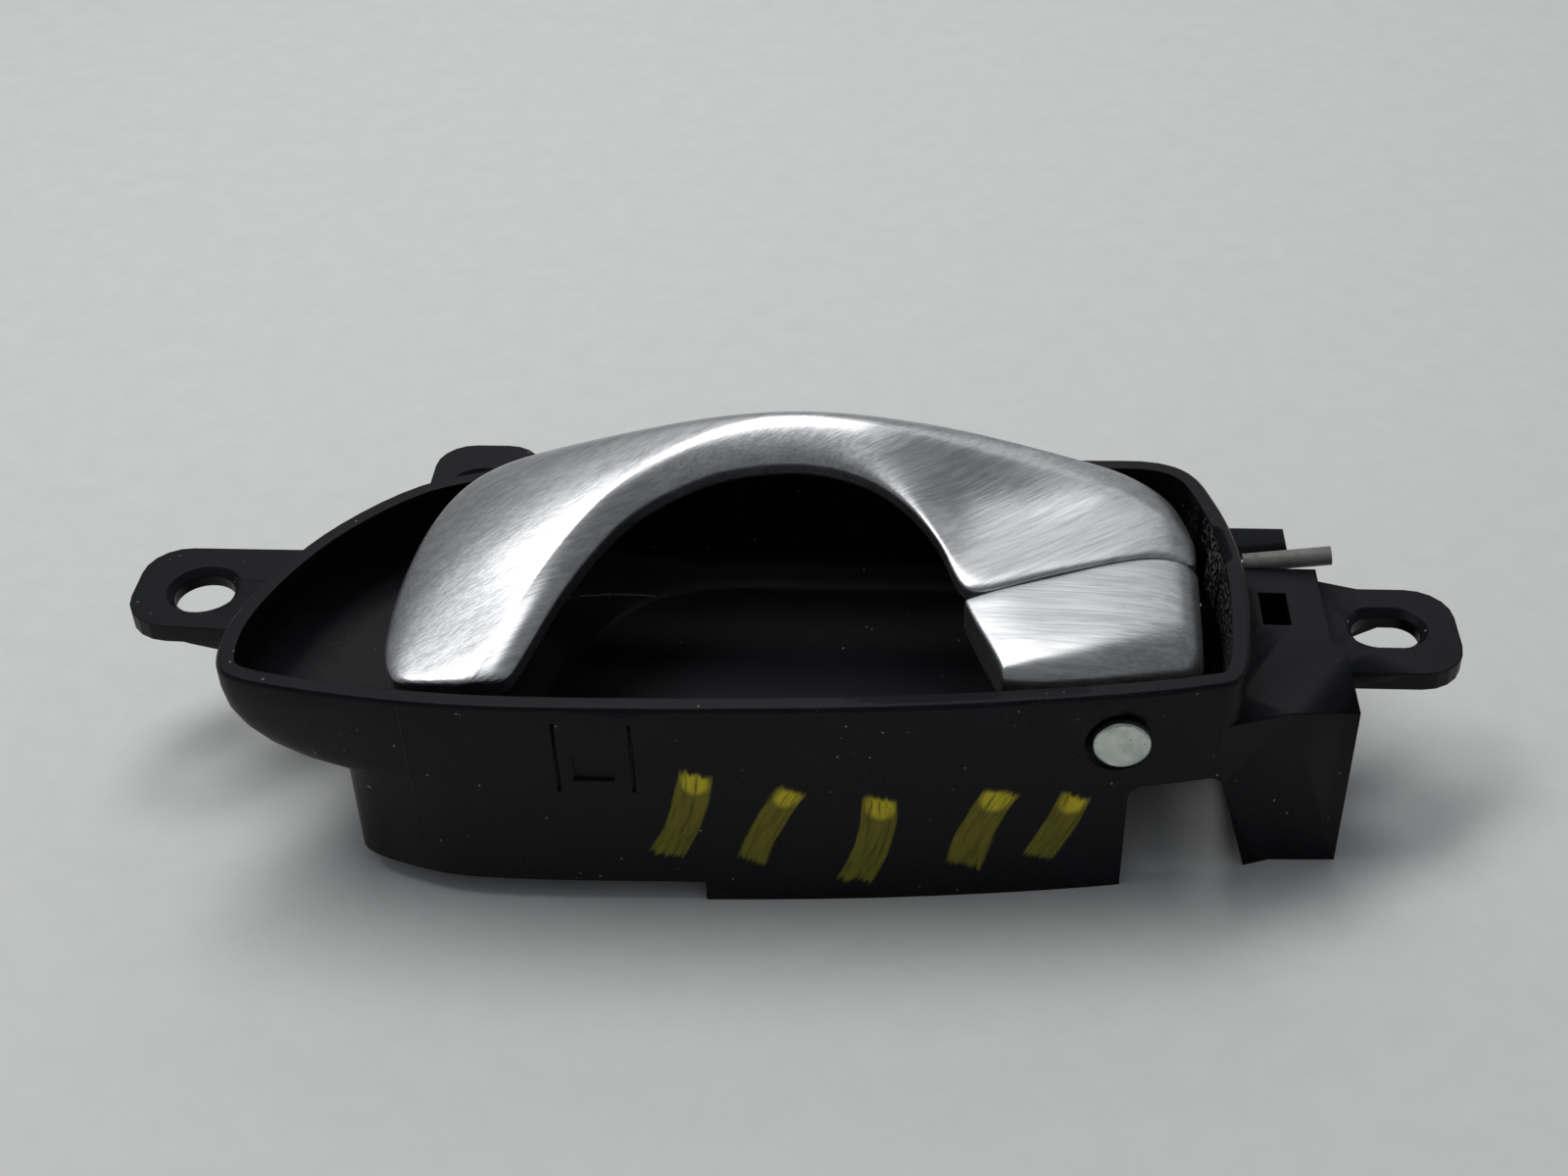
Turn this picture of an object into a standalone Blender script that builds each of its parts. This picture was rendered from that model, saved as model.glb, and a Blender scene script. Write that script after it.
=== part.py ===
"""Interior car door handle: black housing with a finger cup, silver release lever and lock
knob on one pivot pin, return spring and three fixing lugs.  Metres, +Z up, +X to the pivot
end.  The handle lies on its back, centred over the origin, with its base at z = 0."""
import math

import bmesh
import bpy
from mathutils import Vector

MM = 0.001

# Overall sizes
LENGTH = 200.0 * MM
WIDTH = 77.0 * MM
RIM_TOP = 36.8 * MM

# Housing, in millimetres at the nominal size
WALL = 2.6
BLOCK_WALL = 2.2
RIM_CHAMFER = 0.5
BOWL_START = 33.0
BOWL_DRAW = 16.7
BOWL_DROP = 11.8
CUP_FLOOR = 15.0
CUP_CORNER = 5.0
CUP_FLOOR_THICKNESS = 2.4
CUP_END = 36.0
BAY_START = 39.0
SHELF_TOP = 26.0
RIB = 1.8
LEFT_FOOT = 3.7
TONGUE_START = -9.4
NOTCH_START = 50.7
NOTCH_TOP = 19.5
BLOCK_TOP = 28.8
POST_TOP = 32.0
LEDGE_TOP = 19.0
LUG_TOP = 27.0
LUG_THICKNESS = 3.0
LUG_HOLE_RADIUS = 4.65
LUG_CHAMFER = 1.1
BACK_LUG_END = 34.5
SLOT_RADIUS = 3.6
SLOT_LENGTH = 10.0

# Pivot pin and what runs on it
PIVOT_X = 49.1
PIVOT_Z = 28.3
PIN_RADIUS = 2.5
HEAD_RADIUS = PIN_RADIUS + 1.5
HEAD_RECESS_RADIUS = HEAD_RADIUS + 1.2
HEAD_PROUD = 1.0
HUB_RADIUS = PIN_RADIUS + 3.0
FIT_GAP = 0.3
SPACER_RADIUS = PIN_RADIUS + 1.7
WASHER_RADIUS = PIN_RADIUS + 2.4
WASHER = 0.6
BACK_FACE = 18.8
EAR = 3.6
BACK_EAR = 5.6
LEVER_EAR = -6.0
KNOB_BACK_EAR = -19.6
KNOB_FRONT_EAR = -28.6

# Return spring
WIRE_RADIUS = 0.7
COIL_RADIUS = PIN_RADIUS + WIRE_RADIUS + 1.2
COIL_TURNS = 3
COIL_PITCH = 1.6
LEG_Y = 3.8
SLEEVE_RADIUS = 1.45

# Silver caps
CAP_WALL = 1.6
CAP_SKIRT = 4.0
CAP_GAP = 0.45
CORE_DEPTH = 1.9
EDGE_DROP = 0.8
FINGER_SIDE = 0.55
SEAM_GAP = 0.5

SX = LENGTH / 200.0
SY = WIDTH / 77.0
SZ = RIM_TOP / 36.8

# Rim outline seen from above
FRONT_BOW = [(-74.6, -37.3), (-62, -40.1), (-44, -42.2), (-20, -42.4), (16, -40.9), (46, -37.7), (61, -35)]
END_WALL = [(64.4, -33.9), (66.1, -31.4), (67.6, -21), (68.1, -11), (67.4, -1), (65.4, 8.2)]
BACK_WALL = [(62.4, 15.6), (57.6, 18.5), (45, 18.9), (15, 18.9), (-14, 18.6), (-32, 17.1), (-46, 14.1)]
LEFT_BOW = [(-57, 9.6), (-67.6, -0.8), (-74.4, -12.4), (-78.2, -24), (-78.4, -31.6), (-77.2, -35.4)]

for old in list(bpy.data.objects):
    bpy.data.objects.remove(old, do_unlink=True)

parts = bpy.data.collections.new("car_door_handle")
cutters = bpy.data.collections.new("cutters")
bpy.context.scene.collection.children.link(parts)
bpy.context.scene.collection.children.link(cutters)


def at(x, y, z):
    return Vector((x * SX, (y + CENTRE_Y) * SY, z * SZ))


def shade(obj, smooth, angle=35):
    for polygon in obj.data.polygons:
        polygon.use_smooth = smooth
    if smooth:
        obj.data.set_sharp_from_angle(angle=math.radians(angle))


def finish_mesh(name, bm, collection):
    bmesh.ops.recalc_face_normals(bm, faces=bm.faces)
    mesh = bpy.data.meshes.new(name)
    bm.to_mesh(mesh)
    bm.free()
    obj = bpy.data.objects.new(name, mesh)
    collection.objects.link(obj)
    if collection is cutters:
        obj.display_type = "WIRE"
        obj.hide_render = True
    return obj


def loft(name, rings, collection, ring_loop=False, smooth=True):
    bm = bmesh.new()
    rows = [[bm.verts.new(p) for p in ring] for ring in rings]
    count = len(rows[0])
    pairs = list(zip(rows, rows[1:]))
    if ring_loop:
        pairs.append((rows[-1], rows[0]))
    else:
        bm.faces.new(rows[0])
        bm.faces.new(rows[-1])
    for near, far in pairs:
        for i in range(count):
            j = (i + 1) % count
            bm.faces.new((near[i], near[j], far[j], far[i]))
    obj = finish_mesh(name, bm, collection)
    shade(obj, smooth)
    return obj


def plan_prism(name, outline, z0, z1, collection=cutters):
    return loft(name, [[at(p[0], p[1], z) for p in outline] for z in (z0, z1)], collection)


def side_prism(name, outline, y0, y1, collection=cutters):
    return loft(name, [[at(p[0], y, p[1]) for p in outline] for y in (y0, y1)], collection)


def box(name, x0, x1, y0, y1, z0, z1, collection=cutters):
    corners = [(x0, y0), (x1, y0), (x1, y1), (x0, y1)]
    return plan_prism(name, corners, z0, z1, collection)


def turned(name, x, z, profile, collection, tube=False, sides=32):
    """Turned about a line parallel to Y; the profile is a list of (y, radius)."""
    rings = []
    for y, radius in profile:
        centre = at(x, y, z)
        ring = []
        for i in range(sides):
            a = math.tau * i / sides
            ring.append(centre + Vector((math.cos(a), 0, math.sin(a))) * radius * MM)
        rings.append(ring)
    return loft(name, rings, collection, ring_loop=tube)


def upright(name, x, y, profile, sides=32, stretch=0.0):
    """Cutter turned about a vertical line; stretch pulls it out along X into a slot."""
    rings = []
    for z, radius in profile:
        centre = at(x, y, z)
        ring = []
        for i in range(sides):
            a = math.tau * (i + 0.5) / sides
            side = math.copysign(stretch / 2, math.cos(a))
            ring.append(centre + Vector((math.cos(a) * radius + side, math.sin(a) * radius, 0)) * MM)
        rings.append(ring)
    return loft(name, rings, cutters)


def rounded(corners, steps=5):
    """Polygon with a fillet at each (x, y, radius) corner."""
    outline = []
    count = len(corners)
    for i, (x, y, radius) in enumerate(corners):
        here = Vector((x, y))
        if radius == 0:
            outline.append((x, y))
            continue
        back = (Vector(corners[i - 1][:2]) - here).normalized()
        ahead = (Vector(corners[(i + 1) % count][:2]) - here).normalized()
        half = back.angle(ahead) / 2
        centre = here + (back + ahead).normalized() * radius / math.sin(half)
        start = here + back * radius / math.tan(half) - centre
        end = here + ahead * radius / math.tan(half) - centre
        turn = start.angle_signed(end)
        for k in range(steps + 1):
            a = -turn * k / steps
            c, s = math.cos(a), math.sin(a)
            outline.append((centre.x + start.x * c - start.y * s, centre.y + start.x * s + start.y * c))
    return outline


def spline(points, steps, closed):
    """Centripetal curve through the points."""
    pts = [Vector(p) for p in points]
    count = len(pts)
    if not closed:
        pts = [pts[0] * 2 - pts[1]] + pts + [pts[-1] * 2 - pts[-2]]
    out = []
    for i in range(count if closed else count - 1):
        if closed:
            four = [pts[(i + k - 1) % count] for k in range(4)]
        else:
            four = pts[i:i + 4]
        t = [0.0]
        for a, b in zip(four, four[1:]):
            t.append(t[-1] + math.sqrt((b - a).length))
        for k in range(steps):
            u = t[1] + (t[2] - t[1]) * k / steps
            level = list(four)
            for span in (1, 2, 3):
                level = [
                    level[m] * ((t[m + span] - u) / (t[m + span] - t[m]))
                    + level[m + 1] * ((u - t[m]) / (t[m + span] - t[m]))
                    if span == 1 else
                    level[m] * ((t[min(m + 2, 3)] - u) / (t[min(m + 2, 3)] - t[m]))
                    + level[m + 1] * ((u - t[m]) / (t[min(m + 2, 3)] - t[m]))
                    if span == 2 else
                    level[m] * ((t[2] - u) / (t[2] - t[1]))
                    + level[m + 1] * ((u - t[1]) / (t[2] - t[1]))
                    for m in range(len(level) - 1)
                ]
            out.append(level[0])
    if not closed:
        out.append(pts[-2])
    return out


def inset(outline, amount):
    """Outline moved inwards, with the folds at tight corners left out."""
    count = len(outline)
    moved = []
    for i, p in enumerate(outline):
        along = (Vector(outline[(i + 1) % count]) - Vector(outline[i - 1])).normalized()
        moved.append(Vector(p) + Vector((-along.y, along.x)) * amount)
    kept = []
    for q in moved:
        if min((q - Vector(p)).length for p in outline) > amount * 0.97:
            kept.append((q.x, q.y))
    return kept


def clip(outline, low, high):
    """The stretch of a plan outline with x between low and high."""
    for limit, sign in ((low, 1), (high, -1)):
        kept = []
        for i, p in enumerate(outline):
            q = outline[(i + 1) % len(outline)]
            inside_p = (p[0] - limit) * sign >= 0
            inside_q = (q[0] - limit) * sign >= 0
            if inside_p:
                kept.append(p)
            if inside_p != inside_q:
                f = (limit - p[0]) / (q[0] - p[0])
                kept.append((limit, p[1] + (q[1] - p[1]) * f))
        outline = kept
    return outline


def combine(target, other, operation):
    mod = target.modifiers.new(other.name, "BOOLEAN")
    mod.operation = operation
    mod.solver = "EXACT"
    mod.object = other


def material(obj, colour, metallic, roughness):
    mat = bpy.data.materials.new(obj.name)
    mat.use_nodes = True
    shader = mat.node_tree.nodes["Principled BSDF"]
    shader.inputs["Base Color"].default_value = (*colour, 1)
    shader.inputs["Metallic"].default_value = metallic
    shader.inputs["Roughness"].default_value = roughness
    mat.diffuse_color = (*colour, 1)
    obj.data.materials.clear()
    obj.data.materials.append(mat)


# Housing shell.  Below the rim the left end draws in as a quarter-round bowl.
rim = [(p.x, p.y) for p in spline(FRONT_BOW + END_WALL + BACK_WALL + LEFT_BOW, 4, True)]
LEFT_END = min(p[0] for p in rim)
CENTRE_Y = -(min(p[1] for p in rim) + BACK_LUG_END) / 2
BOWL_HINGE = -45.0


def drawn_in(outline, shift, hinge):
    """Outline with its left end moved right by shift, fading out at the hinge line."""
    out = []
    for x, y in outline:
        share = max(0.0, (hinge - x) / (hinge - LEFT_END))
        out.append((x + shift * share, y))
    return out


rings = [[at(p[0], p[1], 36.8 - RIM_CHAMFER) for p in rim]]
rings.append([at(p[0], p[1], BOWL_START) for p in rim])
for step in range(1, 7):
    a = math.radians(15 * step)
    z = BOWL_START - BOWL_DROP * math.sin(a)
    rings.append([at(p[0], p[1], z) for p in drawn_in(rim, BOWL_DRAW * (1 - math.cos(a)), BOWL_HINGE)])
lower_body = drawn_in(rim, BOWL_DRAW, BOWL_HINGE)
rings.append([at(p[0], p[1], 0) for p in lower_body])
count = len(rim)
top = []
for i, p in enumerate(rim):
    along = (Vector(rim[(i + 1) % count]) - Vector(rim[i - 1])).normalized()
    top.append(at(p[0] - along.y * RIM_CHAMFER, p[1] + along.x * RIM_CHAMFER, 36.8))
rings.insert(0, top)
housing = loft("housing", rings, parts)

# Blocks, lugs and gussets joined on
block = plan_prism("block", [(62, -30), (62.8, -34.6), (73, -31.1), (82.6, -30.8), (82.6, -16.6),
                             (80.6, -15), (80.6, 2), (63, 2)], 0, BLOCK_TOP)
rear_block = box("rear_block", 63, 77, 5.6, 12.5, 9, BLOCK_TOP - 0.3)
LUG_BASE = LUG_TOP - LUG_THICKNESS
left_lug = plan_prism("left_lug", rounded([(-100, 5, 6.5), (-100, -14, 7), (-68, -15.5, 0), (-68, 5, 0)]),
                      LUG_BASE, LUG_TOP)
right_lug = plan_prism("right_lug", rounded([(79, -19.9, 0), (100, -19.9, 6.5), (100, -0.4, 6.5),
                                             (86.7, -0.4, 0), (79, 2, 0)]), LUG_BASE, LUG_TOP)
back_lug = plan_prism("back_lug", rounded([(-59.3, 0, 0), (-42, 0, 0), (-42, BACK_LUG_END, 6), (-59.3, BACK_LUG_END, 6)]),
                      LUG_BASE, LUG_TOP)
left_gusset = side_prism("left_gusset", [(-94, LUG_BASE + 0.5), (-90, LUG_BASE - 1), (-66, 16.8),
                                         (-66, LUG_BASE + 0.5)], -13.6, -11.4)
right_gusset = side_prism("right_gusset", [(79.6, 17), (80.6, 17), (92, LUG_BASE - 0.6),
                                           (93, LUG_BASE + 0.5), (79.6, LUG_BASE + 0.5)], -3.6, -1.6)
back_gusset = plan_prism("back_gusset", [(-51.7, 6), (-49.5, 6), (-49.5, 16.6), (-51.7, 16.6)],
                         LUG_BASE - 4, LUG_BASE + 0.5)
for extra in (block, rear_block, left_lug, right_lug, back_lug, left_gusset, right_gusset, back_gusset):
    combine(housing, extra, "UNION")

# Finger cup: the inner rim outline drawn in at the left, at the shelf and at the floor
inner_rim = inset(rim, WALL)
INNER_LEFT = min(p[0] for p in inner_rim)
INNER_RIGHT = max(p[0] for p in inner_rim)
INNER_DRAW = BOWL_DRAW - WALL + 0.2
INNER_DROP = BOWL_DROP - WALL
BOWL_FLOOR = BOWL_START - INNER_DROP


def cup_ring(z):
    level = min(max(z, CUP_FLOOR), BOWL_START)
    if level > BOWL_FLOOR:
        drop = (BOWL_START - level) / INNER_DROP
        left = INNER_DRAW * (1 - math.sqrt(1 - drop * drop))
        hinge = BOWL_HINGE
    else:
        drop = (BOWL_FLOOR - level) / (BOWL_FLOOR - CUP_FLOOR)
        left = INNER_DRAW + 26 * math.sin(drop * math.pi / 2)
        hinge = BOWL_HINGE + 40 * drop
    right = (INNER_RIGHT - CUP_END) * min(1.0, max(0.0, SHELF_TOP + 1 - z))
    corner = min(1.0, max(0.0, (CUP_FLOOR + CUP_CORNER - level) / CUP_CORNER))
    side = CUP_CORNER * (1 - math.sqrt(1 - corner * corner * 0.98))
    right += side
    ring = []
    for x, y in inner_rim:
        share = max(0.0, (hinge - x) / (hinge - INNER_LEFT))
        far = max(0.0, (x - 5) / (INNER_RIGHT - 5))
        ring.append(at(x + left * share - right * far, y - (y + 12) * side / 27, z))
    return ring


levels = [37.8, 36.2, BOWL_START, 30, SHELF_TOP + 1, SHELF_TOP, 24.4, BOWL_FLOOR, 22, 20, 18.2, 16.8, 15.8, 15.2]
cup = loft("cup", [cup_ring(z) for z in levels + [CUP_FLOOR]], cutters)
bay = plan_prism("bay", clip(inner_rim, BAY_START, 90), -1, 31)
combine(housing, cup, "DIFFERENCE")
combine(housing, bay, "DIFFERENCE")

# Open underside of the cup, with cross ribs
under = inset(lower_body, WALL)
rib_lines = [-70, -31, 3.5, BAY_START - WALL + RIB]
for i, (low, high) in enumerate(zip(rib_lines, rib_lines[1:])):
    hollow = plan_prism("hollow_%d" % i, clip(under, low, high - RIB), -1, CUP_FLOOR - CUP_FLOOR_THICKNESS)
    combine(housing, hollow, "DIFFERENCE")
combine(housing, box("left_relief", -90, TONGUE_START, -50, 40, -1, LEFT_FOOT), "DIFFERENCE")
combine(housing, box("cable_way", -66, 41, -10.6, -6.2, 5.4, 11.2), "DIFFERENCE")

# End block: hollow from below, notch in the front wall, hole in its top
block_hollow = plan_prism("block_hollow", [(70.4, -28.8), (80.3, -28.7), (80.3, -17.6), (78.3, -16.2),
                                           (78.3, -0.4), (70.4, -0.4)], -1, BLOCK_TOP - BLOCK_WALL)
notch = side_prism("notch", rounded([(NOTCH_START, -1, 0), (69.4, -1, 0), (63.8, NOTCH_TOP, 2.6),
                                     (NOTCH_START, NOTCH_TOP, 2.2)]), -45, -9)
combine(housing, block_hollow, "DIFFERENCE")
combine(housing, notch, "DIFFERENCE")
combine(housing, box("top_hole", 71.3, 75.4, -11.5, -4, 24, 31), "DIFFERENCE")
combine(housing, box("leg_slot", 63, 71, LEG_Y - 1.6, LEG_Y + 1.6, 18, 31.5), "DIFFERENCE")

# Stop post under the closed lever and stop ledge under its tail
combine(housing, box("stop_post", 36.1, 38.9, -4, 4, 24, POST_TOP), "UNION")
combine(housing, box("stop_ledge", 58, 66.2, -4.4, 1.2, 13, LEDGE_TOP), "UNION")

# Pin holes, lug holes, slot and marks on the front wall
front_face = -37.2
combine(housing, turned("pin_hole", PIVOT_X, PIVOT_Z, [(-50, PIN_RADIUS + FIT_GAP),
                                                       (25, PIN_RADIUS + FIT_GAP)], cutters), "DIFFERENCE")
combine(housing, turned("head_recess", PIVOT_X, PIVOT_Z, [(-50, HEAD_RECESS_RADIUS),
                                                          (front_face + 0.6, HEAD_RECESS_RADIUS)],
                        cutters), "DIFFERENCE")
hole_profile = [(LUG_BASE - 1, LUG_HOLE_RADIUS), (LUG_TOP - LUG_CHAMFER, LUG_HOLE_RADIUS),
                (LUG_TOP + 0.5, LUG_HOLE_RADIUS + LUG_CHAMFER + 0.5)]
slot_profile = [(z, r - LUG_HOLE_RADIUS + SLOT_RADIUS) for z, r in hole_profile]
combine(housing, upright("left_hole", -89.3, -5.2, hole_profile), "DIFFERENCE")
combine(housing, upright("back_hole", -50.6, 22.5, hole_profile), "DIFFERENCE")
combine(housing, upright("slot_hole", 89.7, -9.4, slot_profile, stretch=SLOT_LENGTH - 2 * SLOT_RADIUS),
        "DIFFERENCE")
for name, x0, x1, z0, z1 in (("groove_a", -29.5, -28.9, 21.5, 34.2), ("groove_b", -18.9, -18.3, 21.5, 34.2),
                             ("square_recess", -27, -21.2, 23.6, 28.7)):
    combine(housing, box(name, x0, x1, -45, -41.9, z0, z1), "DIFFERENCE")
material(housing, (0.012, 0.013, 0.016), 0, 0.42)

# Pivot pin, its retainer and the sleeves on it
pin = turned("pivot_pin", PIVOT_X, PIVOT_Z, [
    (front_face - HEAD_PROUD, HEAD_RADIUS - 0.3), (front_face - HEAD_PROUD + 0.3, HEAD_RADIUS),
    (front_face + 0.3, HEAD_RADIUS), (front_face + 0.3, PIN_RADIUS),
    (BACK_FACE + 2.4, PIN_RADIUS), (BACK_FACE + 2.9, PIN_RADIUS - 0.5)], parts)
material(pin, (0.62, 0.66, 0.6), 1, 0.35)


def sleeve(name, y0, y1, outer, colour, metallic=0.0, roughness=0.5):
    inner = PIN_RADIUS + FIT_GAP
    obj = turned(name, PIVOT_X, PIVOT_Z, [(y0, inner), (y0, outer), (y1, outer), (y1, inner)], parts, tube=True)
    material(obj, colour, metallic, roughness)
    return obj


sleeve("pin_retainer", BACK_FACE + 0.5, BACK_FACE + 1.4, PIN_RADIUS + 2.7, (0.35, 0.34, 0.32), 1, 0.35)
sleeve("front_spacer", front_face + WALL + 1.2, KNOB_FRONT_EAR - FIT_GAP, PIN_RADIUS + 1.2, (0.6, 0.6, 0.57))
sleeve("rear_spacer", BACK_EAR + EAR + FIT_GAP, BACK_FACE - WALL - FIT_GAP, SPACER_RADIUS, (0.6, 0.6, 0.57))
sleeve("wave_washer", LEVER_EAR - FIT_GAP - WASHER, LEVER_EAR - FIT_GAP, WASHER_RADIUS, (0.5, 0.5, 0.5), 1, 0.3)
sleeve("knob_spacer", KNOB_BACK_EAR + EAR + FIT_GAP, LEVER_EAR - 2 * FIT_GAP - WASHER, SPACER_RADIUS, (0.6, 0.6, 0.57))
sleeve("spring_bobbin", LEVER_EAR + EAR + FIT_GAP, BACK_EAR - FIT_GAP,
       COIL_RADIUS - WIRE_RADIUS - FIT_GAP - 0.05, (0.7, 0.7, 0.66))

# Rubber pads: one stops the lever closed, the other stops it open
PAD_TOP = 35.4
rest_pad = plan_prism("rest_bumper", rounded([(35.6, -3.6, 0.8), (39.6, -3.6, 0.8), (39.6, 3.6, 0.8),
                                              (35.6, 3.6, 0.8)], 3), POST_TOP + FIT_GAP, PAD_TOP, parts)
open_pad = plan_prism("open_bumper", rounded([(58.2, -4.2, 0.8), (63.4, -4.2, 0.8), (63.4, 1.0, 0.8),
                                              (58.2, 1.0, 0.8)], 3), LEDGE_TOP + FIT_GAP, LEDGE_TOP + 3.5, parts)
for pad in (rest_pad, open_pad):
    material(pad, (0.02, 0.02, 0.02), 0, 0.8)

# Return spring: fixed leg to the right, coil round the pin, moving leg up under the lever core
# The fixed leg dips under the sweep of the lever's tail, then climbs through the end wall.
LEG_BEND = (69.3, 28.27)
LEG_END = (83.0, 30.1)
LEG_DIP = [(66.9, 25.0), (65.9, 20.8), (64.6, 19.6), (60.0, 19.0)]
run = Vector((LEG_END[0] - LEG_BEND[0], LEG_END[1] - LEG_BEND[1])).normalized()
spring_path = [at(LEG_END[0] - 2.2 * run.x, LEG_Y, LEG_END[1] - 2.2 * run.y)]
for x, z in [LEG_BEND] + LEG_DIP:
    spring_path.append(at(x, LEG_Y, z))
pivot = at(PIVOT_X, LEG_Y, PIVOT_Z)
away = spring_path[-1] - pivot
lean = math.atan2(away.z, away.x) - math.acos(COIL_RADIUS * MM / Vector((away.x, away.z)).length)
sweep = math.tau * COIL_TURNS + lean + math.pi
total = int(18 * sweep / math.tau)
for i in range(total + 1):
    a = lean - sweep * i / total
    y = -COIL_PITCH * MM * sweep / math.tau * i / total
    spring_path.append(pivot + Vector((COIL_RADIUS * MM * math.cos(a), y, COIL_RADIUS * MM * math.sin(a))))
tail = spring_path[-1]
spring_path.append(tail + Vector((0, 0, 3.7)) * MM)
spring_path.append(tail + Vector((-0.5, 0, 4.4)) * MM)
spring_path.append(tail + Vector((-2.6, 0, 4.7)) * MM)
curve = bpy.data.curves.new("return_spring", "CURVE")
curve.dimensions = "3D"
curve.bevel_depth = WIRE_RADIUS * MM
curve.bevel_resolution = 2
curve.use_fill_caps = True
line = curve.splines.new("POLY")
line.points.add(len(spring_path) - 1)
for point, place in zip(line.points, spring_path):
    point.co = (*place, 1)
wire = bpy.data.objects.new("spring_wire", curve)
cutters.objects.link(wire)
spring_mesh = bpy.data.meshes.new_from_object(wire)
bpy.data.objects.remove(wire, do_unlink=True)
spring = bpy.data.objects.new("return_spring", spring_mesh)
parts.objects.link(spring)
shade(spring, True, 50)
material(spring, (0.42, 0.42, 0.43), 1, 0.3)


def straight_round(name, start, end, radius, collection, sides=20):
    direction = (end - start).normalized()
    side = direction.orthogonal().normalized()
    other = direction.cross(side)
    rings = []
    for place in (start, end):
        ring = []
        for i in range(sides):
            a = math.tau * i / sides
            ring.append(place + (side * math.cos(a) + other * math.sin(a)) * radius * MM)
        rings.append(ring)
    return loft(name, rings, collection)


leg_start = at(LEG_BEND[0] + 0.6, LEG_Y, LEG_BEND[1] + 0.08)
leg_end = at(LEG_END[0], LEG_Y, LEG_END[1])
leg_line = (leg_end - leg_start).normalized()
spring_sleeve = straight_round("spring_sleeve", leg_start, leg_end, SLEEVE_RADIUS, parts)
sleeve_bore = straight_round("sleeve_bore", leg_start - leg_line * MM, leg_end - leg_line * 1.2 * MM,
                             WIRE_RADIUS + FIT_GAP, cutters)
combine(spring_sleeve, sleeve_bore, "DIFFERENCE")
material(spring_sleeve, (0.2, 0.2, 0.2), 0, 0.6)

# Release lever.  Three curves run from the paddle round the arch to the pivot end: the outer
# edge, the crest and the edge on the finger side, which becomes the seam beside the knob.
OUTER = [(-52.3, -35.4, 34.0), (-55.2, -30, 34.4), (-56.0, -20, 35.0), (-54.8, -9.4, 36.8), (-51.8, 1.4, 38.6),
         (-45.6, 10.6, 39.6), (-32, 13.8, 42.2), (-14, 14.0, 46.4), (4, 14.0, 48.2), (19, 14.0, 46.8),
         (29, 14.0, 44.8), (38, 13.8, 42.4), (45, 13.6, 40.4), (51, 13.2, 38.6), (56, 11.2, 37.0),
         (59.4, 8.0, 35.6), (61.4, 4.0, 33.6)]
CREST = [(-41.5, -36.0, 36.0), (-38.4, -30, 38.4), (-35.2, -21, 40.6), (-31.4, -11.6, 42.5),
         (-26.4, -2.8, 44.4), (-20, 3.0, 46.4), (-13, 7.0, 48.6), (-5, 9.4, 50.2), (4.5, 9.9, 50.7),
         (15.5, 8.8, 49.6), (24, 6.6, 47.2), (31, 4.4, 44.4), (38, 2.6, 42.2), (45, 1.4, 41.0),
         (52, 0.4, 40.2), (57.6, -0.6, 39.0), (62.0, -1.6, 35.6)]
INNER = [(-37.0, -35.2, 34.4), (-34.4, -29, 36.0), (-31.2, -19.6, 37.9), (-27.4, -11, 39.2),
         (-22.6, -3.6, 41.0), (-16.2, 0.6, 43.0), (-9.5, 2.8, 44.9), (-2, 3.5, 46.0), (5.5, 3.3, 46.2),
         (13.5, 1.0, 45.2), (20, -4.0, 43.2), (24.4, -10.6, 41.0), (27.6, -18.4, 39.6),
         (37, -14.8, 39.5), (47, -11.0, 39.5), (56, -8.2, 39.0), (61.8, -8.0, 36.0)]


def stations(tracks, margin):
    """Points on each track, station by station, with both ends held back by the margin."""
    guide = tracks[1]
    run = [0.0]
    for a, b in zip(guide, guide[1:]):
        run.append(run[-1] + (b - a).length)
    ends = [0.0, 0.0]
    if margin > 0:
        ends = [margin, margin + (0.25 if margin > CAP_WALL else 0)]
    marks = [ends[0]] + [r for r in run if ends[0] + 0.8 < r < run[-1] - ends[1] - 0.8] + [run[-1] - ends[1]]
    out = []
    for mark in marks:
        i = max(k for k in range(len(run) - 1) if run[k] <= mark or k == 0)
        share = (mark - run[i]) / (run[i + 1] - run[i])
        out.append([t[i].lerp(t[i + 1], share) for t in tracks])
    return out


def lever_form(name, margin, depth, collection, end_depth=0.0):
    """Solid under the lever surface, drawn in by margin and reaching depth below the edges."""
    rows = stations([spline(t, 2, False) for t in (OUTER, CREST, INNER)], margin)
    last = len(rows) - 1
    rings = []
    for i, (o, c, q) in enumerate(rows):
        across = Vector((q.x - o.x, q.y - o.y, 0)).normalized()
        o += across * margin
        q -= across * margin
        for p in (o, c, q):
            p.z -= margin
        tail = max(0.0, (i - last * 0.72) / (last * 0.28))
        drop = depth + end_depth * tail
        ring = [o, o.lerp(c, 0.33), o.lerp(c, 0.68), c, c.lerp(q, 0.4), c.lerp(q, 0.8), q]
        rise = 0.9 if i < last * 0.75 else 0.3
        ring[1].z += rise * 0.5
        ring[2].z += rise
        ring[4].z += 0.2
        ring[5].z += 0.1
        foot_q = Vector((q.x, q.y, q.z - drop * (FINGER_SIDE + (1 - FINGER_SIDE) * tail)))
        foot_o = Vector((o.x, o.y, o.z - drop))
        lower = Vector((0, 0, EDGE_DROP))
        ring += [q - lower, foot_q, foot_q.lerp(foot_o, 0.5), foot_o, o - lower]
        rings.append([at(*p) for p in ring])
    obj = loft(name, rings, collection)
    smooth = obj.modifiers.new("rounding", "SUBSURF")
    smooth.levels = 1
    smooth.render_levels = 1
    shade(obj, True, 80)
    return obj


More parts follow.
